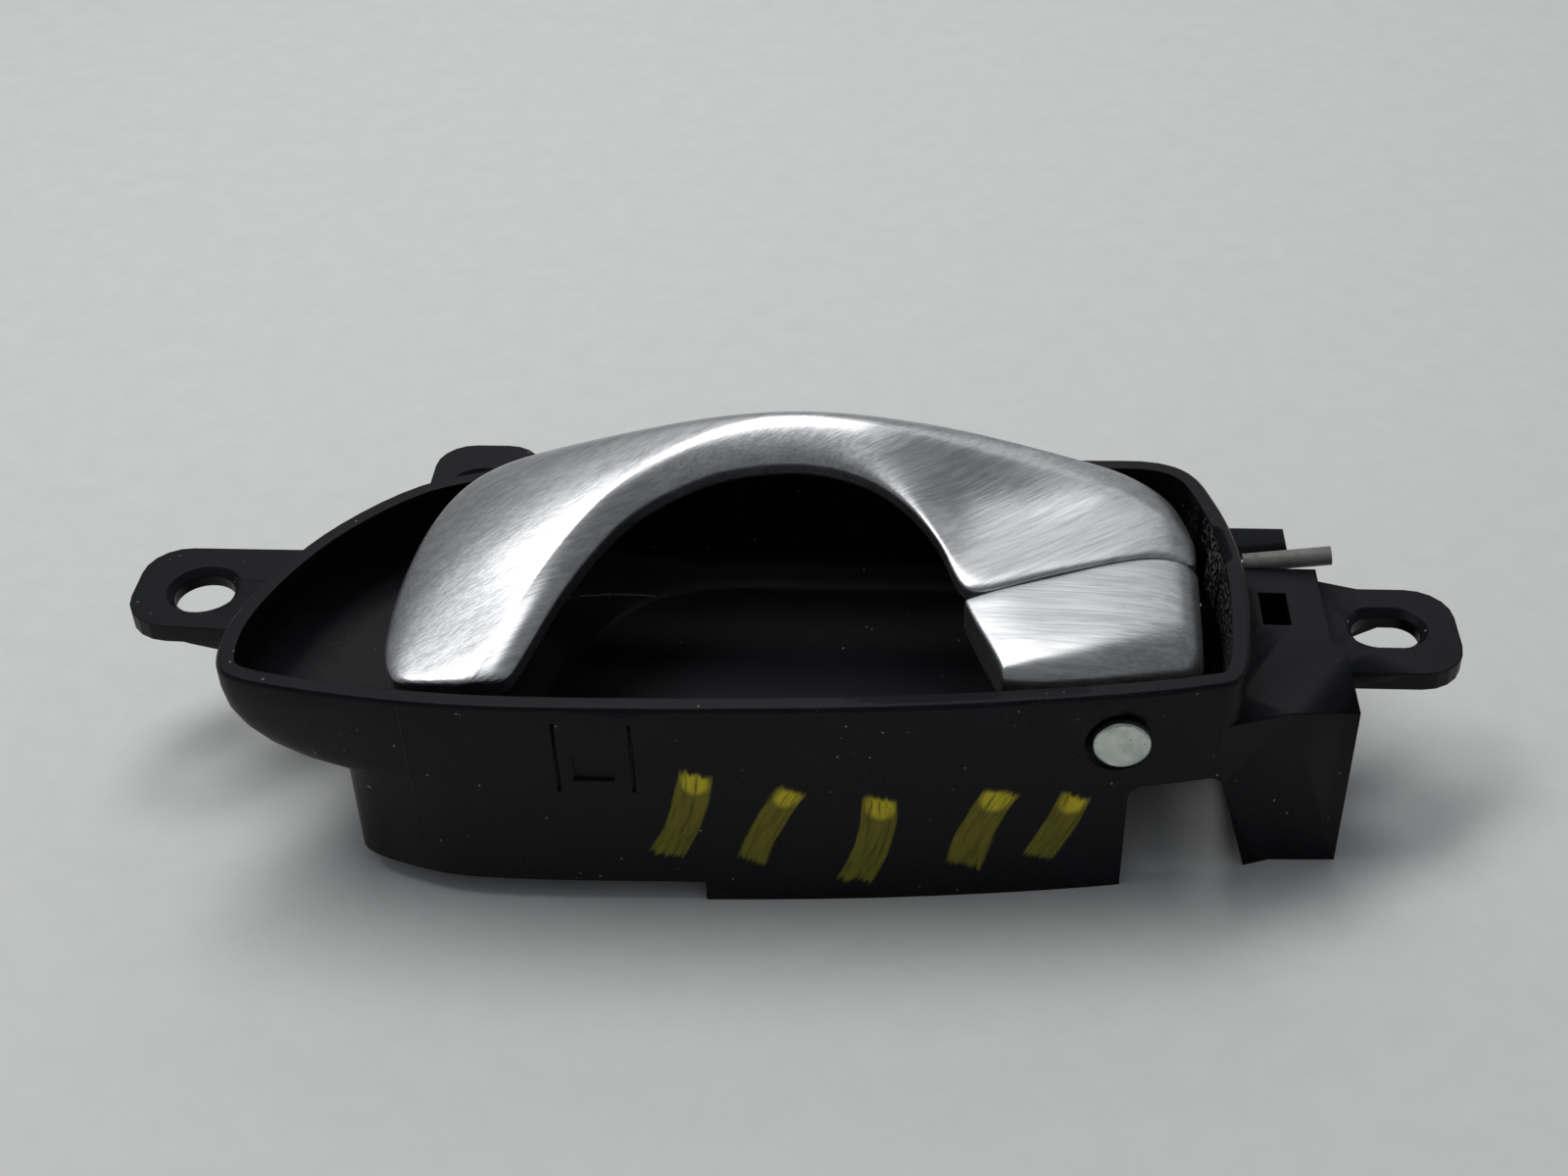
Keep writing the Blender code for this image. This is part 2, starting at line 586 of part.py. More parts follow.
lever = lever_form("release_lever", 0.0, CAP_SKIRT, parts, 3.0)
combine(lever, lever_form("lever_inside", CAP_WALL, CAP_SKIRT + 4, cutters, 4.0), "DIFFERENCE")
material(lever, (0.72, 0.73, 0.74), 1, 0.32)

lever_core = lever_form("lever_core", CAP_WALL + CAP_GAP, CORE_DEPTH, parts)


def ear(name, y, left_top, right_top):
    left, right = PIVOT_X - HUB_RADIUS, PIVOT_X + HUB_RADIUS
    low = PIVOT_Z - HUB_RADIUS
    outline = rounded([(left - 1, left_top, 0), (left, low, HUB_RADIUS - 0.3),
                       (right, low, HUB_RADIUS - 0.3), (right, right_top, 0)])
    return side_prism(name, outline, y, y + EAR)


for extra in (ear("lever_back_ear", BACK_EAR, 37.6, 34.6), ear("lever_front_ear", LEVER_EAR, 37.6, 36.2),
              side_prism("lever_arm", rounded([(46.2, 27, 0), (46.2, 13.6, 2.4), (52, 13.6, 2.4), (52, 27, 0)]),
                         LEVER_EAR + 0.4, LEVER_EAR + EAR - 0.4)):
    combine(lever_core, extra, "UNION")
bore = turned("lever_bore", PIVOT_X, PIVOT_Z, [(LEVER_EAR - 2, PIN_RADIUS + FIT_GAP),
                                               (BACK_EAR + EAR + 2, PIN_RADIUS + FIT_GAP)], cutters)
eye = turned("lever_cable_eye", 49.1, 16.6, [(LEVER_EAR - 2, 1.6), (LEVER_EAR + EAR + 2, 1.6)], cutters)
combine(lever_core, bore, "DIFFERENCE")
combine(lever_core, eye, "DIFFERENCE")
material(lever_core, (0.015, 0.015, 0.017), 0, 0.5)

# Lock knob beside the seam: sections across from the seam to the front edge
SEAM = [(26.8, -19.8, 39.2), (32, -17.6, 39.6), (37, -15.6, 39.6), (42, -13.6, 39.6), (47, -11.6, 39.6),
        (52, -9.8, 39.4), (56.4, -8.8, 38.9), (59.6, -8.6, 37.6), (61.5, -8.6, 35.4)]
FRONT = [(32.2, -34.2, 36.0), (36.0, -34.4, 36.2), (40, -34.1, 36.2), (44, -33.5, 36.2), (48, -32.8, 36.3),
         (52, -32.1, 36.4), (55.6, -31.4, 36.4), (58.8, -30.5, 36.0), (60.8, -29.0, 34.2)]


def knob_form(name, margin, depth, collection):
    rings = []
    for b, f in stations([[Vector(p) for p in t] for t in (SEAM, FRONT)], margin):
        across = Vector((f.x - b.x, f.y - b.y, 0)).normalized()
        b += across * margin
        f -= across * margin
        b.z -= margin
        f.z -= margin
        ring = [b, b.lerp(f, 0.12), b.lerp(f, 0.4), b.lerp(f, 0.66), b.lerp(f, 0.86), f]
        ring[1].z += 0.3
        ring[2].z += 0.9
        ring[3].z += 1.5
        ring[4].z += 1.4
        foot_f = Vector((f.x, f.y, f.z - depth + 1))
        foot_b = Vector((b.x, b.y, b.z - depth - 1))
        lower = Vector((0, 0, EDGE_DROP))
        ring += [f - lower, foot_f, foot_f.lerp(foot_b, 0.5), foot_b, b - lower]
        rings.append([at(*p) for p in ring])
    obj = loft(name, rings, collection)
    smooth = obj.modifiers.new("rounding", "SUBSURF")
    smooth.levels = 1
    smooth.render_levels = 1
    shade(obj, True, 80)
    return obj


knob = knob_form("lock_knob", 0.0, CAP_SKIRT, parts)
combine(knob, knob_form("knob_inside", CAP_WALL, CAP_SKIRT + 4, cutters), "DIFFERENCE")
material(knob, (0.72, 0.73, 0.74), 1, 0.32)
knob_core = knob_form("knob_core", CAP_WALL + CAP_GAP, CORE_DEPTH + 1, parts)
for extra in (ear("knob_back_ear", KNOB_BACK_EAR, 34.8, 33.9), ear("knob_front_ear", KNOB_FRONT_EAR, 34.2, 33.4),
              side_prism("knob_arm", rounded([(49.6, 27, 0), (50.6, 15.4, 2.2), (55.6, 15.4, 2.2), (54.4, 27, 0)]),
                         KNOB_BACK_EAR + 0.4, KNOB_BACK_EAR + EAR - 0.4)):
    combine(knob_core, extra, "UNION")
bore = turned("knob_bore", PIVOT_X, PIVOT_Z, [(KNOB_FRONT_EAR - 2, PIN_RADIUS + FIT_GAP),
                                              (KNOB_BACK_EAR + EAR + 2, PIN_RADIUS + FIT_GAP)], cutters)
eye = turned("knob_cable_eye", 53.0, 18.2, [(KNOB_BACK_EAR - 2, 1.4), (KNOB_BACK_EAR + EAR + 2, 1.4)], cutters)
combine(knob_core, bore, "DIFFERENCE")
combine(knob_core, eye, "DIFFERENCE")
material(knob_core, (0.015, 0.015, 0.017), 0, 0.5)
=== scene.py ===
"""Interior car door handle with its satin silver lever and lock knob, on a pale bench."""

import math

import bmesh
import bpy
from mathutils import Matrix, Vector


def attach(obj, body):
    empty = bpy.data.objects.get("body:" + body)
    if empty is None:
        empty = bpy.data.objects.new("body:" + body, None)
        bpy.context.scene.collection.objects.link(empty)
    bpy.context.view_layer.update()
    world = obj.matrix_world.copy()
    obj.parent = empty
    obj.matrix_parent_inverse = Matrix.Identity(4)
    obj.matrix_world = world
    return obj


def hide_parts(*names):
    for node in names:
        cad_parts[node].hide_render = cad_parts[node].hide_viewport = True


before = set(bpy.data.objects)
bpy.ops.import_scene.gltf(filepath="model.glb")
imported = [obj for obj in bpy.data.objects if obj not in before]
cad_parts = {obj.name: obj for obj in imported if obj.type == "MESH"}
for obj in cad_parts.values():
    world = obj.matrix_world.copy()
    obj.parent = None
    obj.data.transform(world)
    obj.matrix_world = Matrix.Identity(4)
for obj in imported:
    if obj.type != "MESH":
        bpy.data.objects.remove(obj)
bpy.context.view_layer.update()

# ---------------------------------------------------------------------------------------------
# Housing.  One injection moulding in black, finely grained plastic with a satin finish: the
# finger cup, the end block, three fixing lugs.  Yellow paint marker strokes are on its front.
# ---------------------------------------------------------------------------------------------
FRONT_WALL_Y = -0.0335
STEP_LINE_X = -0.0505           # the mould's parting step on the front wall
SCRATCH_OFFSET = 0.0174         # the cup's long scratch is an arc; its centre is this far to the
SCRATCH_RADIUS = 0.03126        # left of the middle and as far to the front
MERGE_DISTANCE = 2e-6
FLAT_DEGREES = 0.6              # faces that meet at less than this become one
EDGE_RADIUS = 0.00038           # rounding of the sharp edges, in the shading only


class Wire:
    """One socket in a finish's node tree, which sums and other nodes can be built on."""

    def __init__(self, tree, socket):
        self.tree = tree
        self.socket = socket

    def node(self, kind, settings=None, values=None, out=0):
        """Adds a node: settings are its properties, values go to its sockets by name or place."""
        made = self.tree.nodes.new(kind)
        for key, value in (settings or {}).items():
            if key == "stops":
                ramp = made.color_ramp
                while len(ramp.elements) < len(value):
                    ramp.elements.new(0.5)
                for stop, (place, colour) in zip(ramp.elements, value):
                    stop.position = place
                    stop.color = colour
            else:
                setattr(made, key, value)
        for key, value in (values or {}).items():
            socket = made.inputs[key]
            if isinstance(value, Wire):
                self.tree.links.new(value.socket, socket)
            else:
                socket.default_value = value
        return Wire(self.tree, made.outputs[out])

    def maths(self, operation, *others):
        """A Math node's result for this value and the others."""
        return self.node("ShaderNodeMath", {"operation": operation},
                         dict(enumerate((self,) + others)))

    def __add__(self, other):
        return self.maths("ADD", other)

    __radd__ = __add__

    def __sub__(self, other):
        return self.maths("SUBTRACT", other)

    def __rsub__(self, other):
        return (self * -1) + other

    def __mul__(self, other):
        return self.maths("MULTIPLY", other)

    __rmul__ = __mul__

    def __abs__(self):
        return self.maths("ABSOLUTE")

    def __pow__(self, other):
        return self.maths("POWER", other)

    def under(self, limit, soft):
        """1 where the value is below the limit, fading to 0 over the soft width."""
        return self.node("ShaderNodeMapRange", {"interpolation_type": "SMOOTHSTEP"},
                         {"Value": self, "From Min": limit - soft, "From Max": limit + soft,
                          "To Min": 1.0, "To Max": 0.0})

    def over(self, limit, soft):
        """1 where the value is above the limit, fading to 0 over the soft width."""
        return self.node("ShaderNodeMapRange", {"interpolation_type": "SMOOTHSTEP"},
                         {"Value": self, "From Min": limit - soft, "From Max": limit + soft,
                          "To Min": 0.0, "To Max": 1.0})

    def axis(self, name):
        """One component of a vector."""
        return self.node("ShaderNodeSeparateXYZ", None, {0: self}, out="XYZ".index(name))

    def placed(self, move=(0, 0, 0), turn=(0, 0, 0), stretch=(1, 1, 1)):
        """The same coordinates moved, turned and scaled."""
        return self.node("ShaderNodeMapping", None,
                         {"Vector": self, "Location": move, "Rotation": turn, "Scale": stretch})

    def noise(self, scale, detail=2.0, rough=0.5):
        """Soft random variation, about 0.5 on average."""
        return self.node("ShaderNodeTexNoise", None,
                         {"Vector": self, "Scale": scale, "Detail": detail, "Roughness": rough})

    def cells(self, scale):
        """Distance to the nearest of many scattered points."""
        return self.node("ShaderNodeTexVoronoi", None, {"Vector": self, "Scale": scale})

    def blend(self, first, second):
        """Mixes two colours, with this value as the share of the second."""
        return self.node("ShaderNodeMix", {"data_type": "RGBA"},
                         {"Factor": self, 6: first, 7: second}, out=2)


def new_finish(name, metallic=0.0, ior=1.5, coat=0.0, coat_roughness=0.1):
    """A fresh material: gives it, its shader node and its object coordinates."""
    finish = bpy.data.materials.new(name)
    finish.use_nodes = True
    tree = finish.node_tree
    shader = tree.nodes["Principled BSDF"]
    shader.inputs["Metallic"].default_value = metallic
    shader.inputs["IOR"].default_value = ior
    shader.inputs["Coat Weight"].default_value = coat
    shader.inputs["Coat Roughness"].default_value = coat_roughness
    where = tree.nodes.new("ShaderNodeTexCoord")
    return finish, shader, Wire(tree, where.outputs["Object"])


def feed(shader, socket, wire):
    """Links a value to one socket of a shader."""
    wire.tree.links.new(wire.socket, shader.inputs[socket])


def relief(wire, depth, normal=None, strength=1.0):
    """A bumped normal whose height follows the value, on top of the given normal."""
    values = {"Height": wire, "Distance": depth, "Strength": strength}
    if normal is not None:
        values["Normal"] = normal
    return wire.node("ShaderNodeBump", None, values)


def merged_copy(node_name, piece_name, crease):
    """The node's shape with its loose triangles joined, smooth up to the crease angle."""
    bm = bmesh.new()
    bm.from_mesh(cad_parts[node_name].data)
    bmesh.ops.remove_doubles(bm, verts=bm.verts, dist=MERGE_DISTANCE)
    bmesh.ops.dissolve_limit(bm, angle_limit=math.radians(FLAT_DEGREES), verts=bm.verts,
                             edges=bm.edges, delimit={"NORMAL"})
    bmesh.ops.triangulate(bm, faces=bm.faces, quad_method="BEAUTY", ngon_method="BEAUTY")
    bmesh.ops.recalc_face_normals(bm, faces=bm.faces)
    mesh = bpy.data.meshes.new(piece_name)
    bm.to_mesh(mesh)
    bm.free()
    for polygon in mesh.polygons:
        polygon.use_smooth = True
    mesh.set_sharp_from_angle(angle=math.radians(crease))
    piece = bpy.data.objects.new(piece_name, mesh)
    bpy.context.scene.collection.objects.link(piece)
    shading = piece.modifiers.new("even_shading", "WEIGHTED_NORMAL")
    shading.keep_sharp = True
    shading.weight = 90
    return piece


def brush_stroke(place, x, z, length, width, lean, bend):
    """Cover of one marker stroke on the front wall, and how thick its wet end lies."""
    level, rise = math.cos(lean), math.sin(lean)
    from_x, from_z = place.axis("X") - x, place.axis("Z") - z
    along = from_x * rise + from_z * level
    across = from_x * level - from_z * rise + along * along * bend
    hairs = place.node("ShaderNodeCombineXYZ", None,
                       {0: across * 1500, 1: along * 130, 2: x * 900}).noise(1.0, 3.0, 0.6)
    body = abs(across + (hairs - 0.5) * 0.0012).under(width / 2, 0.00022)
    ends = abs(along + (hairs - 0.5) * 0.0032).under(length / 2, 0.0006)
    wet = ((across * across + (along - length * 0.4) ** 2 * 0.8) ** 0.5
           + (hairs - 0.5) * 0.0012).under(width * 0.42, 0.0006)
    thin = body * ends * (hairs.over(0.42, 0.16) * 0.55 + 0.45)
    return thin, wet


plastic, plastic_shader, place = new_finish("black_grained_plastic", ior=1.45)
plastic_shader.inputs["Specular IOR Level"].default_value = 0.19
outward = place.node("ShaderNodeNewGeometry", out="Normal")
facing_front = outward.axis("Y").under(-0.72, 0.05)
tone = place.noise(55, 3, 0.55)
grain = place.noise(5200, 2, 0.6)
smear = place.placed(stretch=(1, 1, 2.2)).noise(120, 4, 0.6)
speck = place.cells(620).under(0.13, 0.03) * place.noise(340, 2).over(0.64, 0.03)
fine_dust = place.cells(1900).under(0.16, 0.05) * place.noise(70, 3).over(0.53, 0.06)
cup_x, cup_y, cup_z = place.axis("X"), place.axis("Y"), place.axis("Z")
# dust lies only in the gap between the knob and the housing's end, on walls that face inwards
inside_gap = (cup_x.over(0.0340, 0.003) * cup_z.over(0.0255, 0.0004)
              * cup_z.under(0.0364, 0.0002)
              * outward.axis("X").under(0.4, 0.1) * outward.axis("Y").over(-0.25, 0.1)
              * cup_y.under(0.0203, 0.0003) * cup_x.under(0.0662, 0.0006))
crevice_dust = inside_gap * place.noise(1500, 3, 0.7).over(0.56, 0.05) * 0.55
arc_x, arc_y = cup_x + SCRATCH_OFFSET, cup_y + SCRATCH_OFFSET
arc_reach = (arc_x * arc_x + arc_y * arc_y) ** 0.5
scratch = (abs(arc_reach - SCRATCH_RADIUS + (smear - 0.5) * 0.0006).under(0.00016, 0.00008)
           * cup_x.over(-0.039, 0.002) * cup_x.under(-0.021, 0.003) * cup_z.under(0.0235, 0.0006)
           * cup_y.over(0.0, 0.001)
           * outward.axis("Z").over(0.6, 0.1) * place.noise(900, 2).over(0.42, 0.06))
# middle x and z, length, width, lean from upright in radians, bend
strokes = [
    (-0.0115, 0.0170, 0.0165, 0.0048, 0.30, 12),
    (0.0000, 0.0152, 0.0150, 0.0042, 0.42, -10),
    (0.0150, 0.0118, 0.0165, 0.0050, 0.22, 14),
    (0.0298, 0.0135, 0.0150, 0.0052, 0.34, -12),
    (0.0412, 0.0128, 0.0125, 0.0046, 0.40, 10),
]
paint, wet_paint = None, None
for stroke in strokes:
    thin, wet = brush_stroke(place, *stroke)
    paint = thin if paint is None else paint.maths("MAXIMUM", thin)
    wet_paint = wet * thin if wet_paint is None else wet_paint.maths("MAXIMUM", wet * thin)
on_wall = facing_front * cup_y.under(FRONT_WALL_Y, 0.0004)
paint = paint * on_wall
wet_paint = wet_paint * on_wall
black = tone.node("ShaderNodeValToRGB",
                  {"stops": [(0.3, (0.0022, 0.0026, 0.0042, 1)),
                             (0.7, (0.0042, 0.0048, 0.0070, 1))]}, {"Fac": tone})
dusty = (speck * 0.5 + fine_dust * 0.09 + crevice_dust).maths("MINIMUM", 1.0)
colour = dusty.blend(black, (0.34, 0.34, 0.32, 1))
colour = (scratch * 0.5).blend(colour, (0.20, 0.20, 0.20, 1))
olive = wet_paint.blend((0.185, 0.165, 0.018, 1), (0.66, 0.56, 0.03, 1))
colour = paint.blend(colour, olive)
feed(plastic_shader, "Base Color", colour)
feed(plastic_shader, "Roughness",
     0.36 + smear * 0.10 + tone * 0.05 + dusty * 0.3 + paint * 0.16)
rounded_edge = place.node("ShaderNodeBevel", {"samples": 6}, {"Radius": EDGE_RADIUS})
step_line = abs(cup_x - STEP_LINE_X).under(0.00016, 0.00010) * facing_front
surface = (grain * 0.10 + smear * 0.25 + paint * 3.5 + wet_paint * 4.0 - scratch * 2.0
           + step_line * 2.5)
feed(plastic_shader, "Normal", relief(surface, 0.000035, rounded_edge, 0.8))
housing = merged_copy("housing", "housing_moulding", 32)
housing.data.materials.append(plastic)
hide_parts("housing")
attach(housing, "base")

# ---------------------------------------------------------------------------------------------
# Pivot pin.  A turned steel rivet, zinc plated, with a pale greenish bloom on its head.  It
# crosses the housing from front to back, and a spring-steel retainer holds its far end.
# ---------------------------------------------------------------------------------------------
PIN_X, PIN_Z = 0.0491, 0.0283


def plated_steel(name, bright, dull, rough):
    """Plated steel with a dull bloom, pits and faint turning rings about the pin's axis."""
    finish, shader, place = new_finish(name, metallic=1.0)
    bloom = place.noise(420, 4, 0.65)
    tint = place.noise(90, 2)
    pits = place.cells(1500).under(0.16, 0.04) * place.noise(600, 2).over(0.56, 0.04)
    rings = place.node("ShaderNodeTexWave", {"wave_type": "RINGS", "rings_direction": "Y"},
                       {"Vector": place.placed(move=(-PIN_X, 0, -PIN_Z)), "Scale": 900.0,
                        "Distortion": 1.5})
    colour = (bloom * 0.7 + tint * 0.3).over(0.52, 0.2).blend(bright, dull)
    feed(shader, "Base Color", (pits * 0.8).blend(colour, (0.05, 0.05, 0.045, 1)))
    feed(shader, "Roughness", rough + bloom * 0.18 + pits * 0.3)
    feed(shader, "Metallic", 1.0 - pits * 0.8)
    rounded = place.node("ShaderNodeBevel", {"samples": 4}, {"Radius": 0.00025})
    feed(shader, "Normal", relief(rings * 0.2 + bloom * 0.8 - pits * 1.2, 0.00002, rounded))
    return finish


pin = merged_copy("pivot_pin", "pivot_rivet", 35)
pin.data.materials.append(
    plated_steel("pin_zinc_plate", (0.66, 0.70, 0.66, 1), (0.44, 0.50, 0.44, 1), 0.30))
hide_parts("pivot_pin")
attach(pin, "base")
retainer = merged_copy("pin_retainer", "pin_retainer_ring", 35)
retainer.data.materials.append(
    plated_steel("retainer_phosphate", (0.30, 0.29, 0.27, 1), (0.17, 0.165, 0.15, 1), 0.38))
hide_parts("pin_retainer")
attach(retainer, "base")

# ---------------------------------------------------------------------------------------------
# Sleeves and washer on the pin.  Natural acetal spacers keep the hinges apart, a wavy spring
# steel washer loads the knob, and a bobbin carries the spring.  They slide on the pin.
# ---------------------------------------------------------------------------------------------
def moulded(name, pale, deep, rough, grain_size=3200):
    """Plain moulded plastic or rubber: cloudy between two tones, gritty, a little grimy."""
    finish, shader, place = new_finish(name)
    cloud = place.noise(160, 3, 0.6)
    grit = place.noise(grain_size, 2, 0.6)
    grime = place.noise(420, 4, 0.7).over(0.6, 0.08)
    colour = cloud.over(0.5, 0.3).blend(pale, deep)
    feed(shader, "Base Color", (grime * 0.35).blend(colour, (0.09, 0.085, 0.075, 1)))
    feed(shader, "Roughness", rough + cloud * 0.12 + grime * 0.15)
    rounded = place.node("ShaderNodeBevel", {"samples": 4}, {"Radius": 0.0002})
    feed(shader, "Normal", relief(grit * 0.6 + cloud * 0.4, 0.00003, rounded))
    return finish


acetal = moulded("natural_acetal", (0.62, 0.61, 0.57, 1), (0.52, 0.51, 0.46, 1), 0.38)
for name in ("front_spacer", "rear_spacer", "knob_spacer", "spring_bobbin"):
    sleeve = merged_copy(name, name + "_sleeve", 35)
    sleeve.data.materials.append(acetal)
    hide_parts(name)
    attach(sleeve, "base")
washer = merged_copy("wave_washer", "spring_steel_washer", 35)
washer.data.materials.append(
    plated_steel("washer_steel", (0.52, 0.52, 0.53, 1), (0.36, 0.36, 0.37, 1), 0.28))
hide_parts("wave_washer")
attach(washer, "lever")

# ---------------------------------------------------------------------------------------------
# Stop pads.  Two cut blocks of black rubber, glued to the post under the closed lever and to
# the ledge under its tail, which quieten both ends of the lever's travel.
# ---------------------------------------------------------------------------------------------
rubber = moulded("stop_rubber", (0.022, 0.022, 0.022, 1), (0.034, 0.033, 0.031, 1), 0.66, 1800)
for name in ("rest_bumper", "open_bumper"):
    pad = merged_copy(name, name + "_pad", 35)
    pad.data.materials.append(rubber)
    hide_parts(name)
    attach(pad, "base")

# ---------------------------------------------------------------------------------------------
# Return spring.  Drawn steel wire wound three times round the bobbin; its fixed leg leaves
# through the end wall inside a grey sleeve whose cut end stands above the block.
# ---------------------------------------------------------------------------------------------
drawn_wire, shader, place = new_finish("drawn_spring_wire", metallic=1.0)
streak = place.placed(stretch=(1, 6, 1)).noise(700, 3, 0.6)
stain = place.noise(260, 3, 0.6)
feed(shader, "Base Color",
     stain.over(0.55, 0.15).blend((0.40, 0.40, 0.41, 1), (0.25, 0.23, 0.20, 1)))
feed(shader, "Roughness", 0.22 + streak * 0.16 + stain * 0.12)
feed(shader, "Normal", relief(streak, 0.00001))
spring = merged_copy("return_spring", "wound_return_spring", 50)
spring.data.materials.append(drawn_wire)
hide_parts("return_spring")
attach(spring, "base")
sleeve = merged_copy("spring_sleeve", "spring_leg_sleeve", 40)
sleeve_grey = moulded("sleeve_grey_nylon", (0.15, 0.15, 0.145, 1), (0.21, 0.205, 0.195, 1), 0.50)
sleeve.data.materials.append(sleeve_grey)
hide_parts("spring_sleeve")
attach(sleeve, "base")

# ---------------------------------------------------------------------------------------------
# Cores.  Black glass-filled nylon carriers under both silver caps, with the hinge ears on the
# pin and an arm with an eye for each cable end.  The caps clip over them.
# ---------------------------------------------------------------------------------------------
VALLEY_X, VALLEY_Z = 0.012, 0.037       # past these, the lever's core lies under a dip in its cap
VALLEY_DEPTH, VALLEY_RUN = 0.0009, 0.008
nylon = moulded("glass_filled_nylon", (0.013, 0.0135, 0.015, 1), (0.024, 0.024, 0.025, 1),
                0.46, 2400)
for name, body in (("lever_core", "lever"), ("knob_core", "knob")):
    core = merged_copy(name, name + "_carrier", 35)
    for vert in core.data.vertices:
        if name == "lever_core" and vert.co.x > VALLEY_X and vert.co.z > VALLEY_Z:
            vert.co.z -= VALLEY_DEPTH * min(1.0, (vert.co.x - VALLEY_X) / VALLEY_RUN)
    core.data.materials.append(nylon)
    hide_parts(name)
    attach(core, body)

# ---------------------------------------------------------------------------------------------
# Release lever.  A die-cast cap with a brushed satin silver finish under clear lacquer: the
# scooped paddle, the arch, and the flat shelf beside the knob with its thin turned lip.
# ---------------------------------------------------------------------------------------------
CENTRE_Y = 4.0                  # the caps' points are in millimetres, from a line this far forward
OUTER_EDGE = [(-52.3, -35.4, 34.0), (-55.2, -30, 34.4), (-56.0, -20, 35.0), (-54.8, -9.4, 36.8),
              (-51.8, 1.4, 38.6), (-45.6, 10.6, 39.6), (-32, 13.8, 42.2), (-14, 14.0, 46.4),
              (4, 14.0, 48.2), (19, 14.0, 46.8), (29, 14.0, 44.8), (38, 13.8, 42.4),
              (45, 13.6, 40.4), (51, 13.2, 38.6), (56, 11.2, 37.0), (59.4, 8.0, 35.6),
              (61.4, 4.0, 33.6)]
CREST = [(-42.3, -36.0, 35.8), (-39.4, -30, 37.9), (-36.2, -21, 40.1), (-31.8, -11.6, 42.3),
         (-26.4, -2.8, 44.4), (-20, 3.0, 46.4), (-13, 7.0, 48.6), (-5, 9.4, 50.2),
         (4.5, 9.9, 50.6), (15.5, 9.0, 49.5), (24, 8.0, 47.2), (31, 7.8, 44.9),
         (38, 7.8, 43.0), (45, 7.0, 41.4), (52, 4.6, 40.1), (57.6, 1.4, 38.6),
         (62.0, -1.6, 35.4)]
FINGER_EDGE = [(-37.0, -35.2, 34.4), (-34.4, -29, 36.0), (-31.2, -19.6, 37.9),
               (-27.4, -11, 39.2), (-22.6, -3.6, 41.0), (-16.2, 0.6, 43.0), (-9.5, 2.8, 44.9),
               (-2, 3.5, 46.0), (5.5, 3.3, 46.2), (13.5, 1.0, 45.2), (20, -4.0, 43.2),
               (24.4, -10.6, 41.0), (27.6, -18.4, 39.6), (37, -14.8, 39.5), (47, -11.0, 39.5),
               (56, -8.2, 39.0), (61.8, -8.0, 36.0)]
# how far the skin rises at each station: three between the outer edge and the crest, then three
# between the crest and the finger edge
RISES = [(0.7, 0.5, 0.4, 0.2, 0.5, 0.3), (1.1, 0.4, 0.1, 0.3, 0.6, 0.3),
         (1.6, 1.4, 0.7, 0.3, 0.6, 0.3), (1.6, 2.1, 1.5, 0.4, 0.5, 0.3),
         (1.0, 1.5, 1.4, 0.5, 0.5, 0.3), (0.6, 1.0, 0.9, 0.6, 0.6, 0.4),
         (0.5, 0.9, 0.7, 0.8, 0.9, 0.6), (0.4, 0.7, 0.5, 0.9, 1.0, 0.7),
         (0.3, 0.5, 0.3, 0.9, 1.0, 0.7), (0.3, 0.5, 0.3, 0.5, 0.7, 0.6),
         (0.3, 0.4, 0.3, -0.7, -0.8, 0.0), (0.3, 0.4, 0.2, -1.7, -1.9, -0.5),
         (0.2, 0.3, 0.2, -1.8, -1.1, 0.2), (0.2, 0.3, 0.2, -0.9, -0.5, 0.2),
         (0.2, 0.3, 0.2, -0.2, 0.0, 0.2), (0.1, 0.3, 0.2, 0.1, 0.2, 0.2),
         (0.1, 0.2, 0.1, 0.1, 0.1, 0.1)]
OUTER_STEPS = [(0.13, 0, 0.62), (0.36, 1, 0.9), (0.7, 2, 1.0)]      # share, which rise, how much
FINGER_STEPS = [(0.1, 3, 0.25), (0.3, 3, 1.0), (0.6, 4, 1.0), (0.88, 5, 1.0)]
SKIRT = 4.0
TAIL_FROM, TAIL_DROP = 0.72, 1.8        # the skirt deepens from this share of the length on
EDGE_HEIGHT = 0.8
SINK, SINK_STATIONS = 0.8, 12           # the crest is sunk less and less up to this station
CAP_SKIN = 0.0013
CAP_ROUNDING = 2                        # levels of subdivision


def curve_through(points, steps):
    """Points on a smooth curve through the given ones, in millimetres."""
    held = [Vector(p) for p in points]
    held = [held[0] * 2 - held[1]] + held + [held[-1] * 2 - held[-2]]
    out = []
    for a, b, c, d in zip(held, held[1:], held[2:], held[3:]):
        for k in range(steps):
            t = k / steps
            out.append(b + (c - a) * (t / 2) + (a * 2 - b * 5 + c * 4 - d) * (t * t / 2)
                       + (b * 3 - a - c * 3 + d) * (t ** 3 / 2))
    out.append(held[-2])
    return out


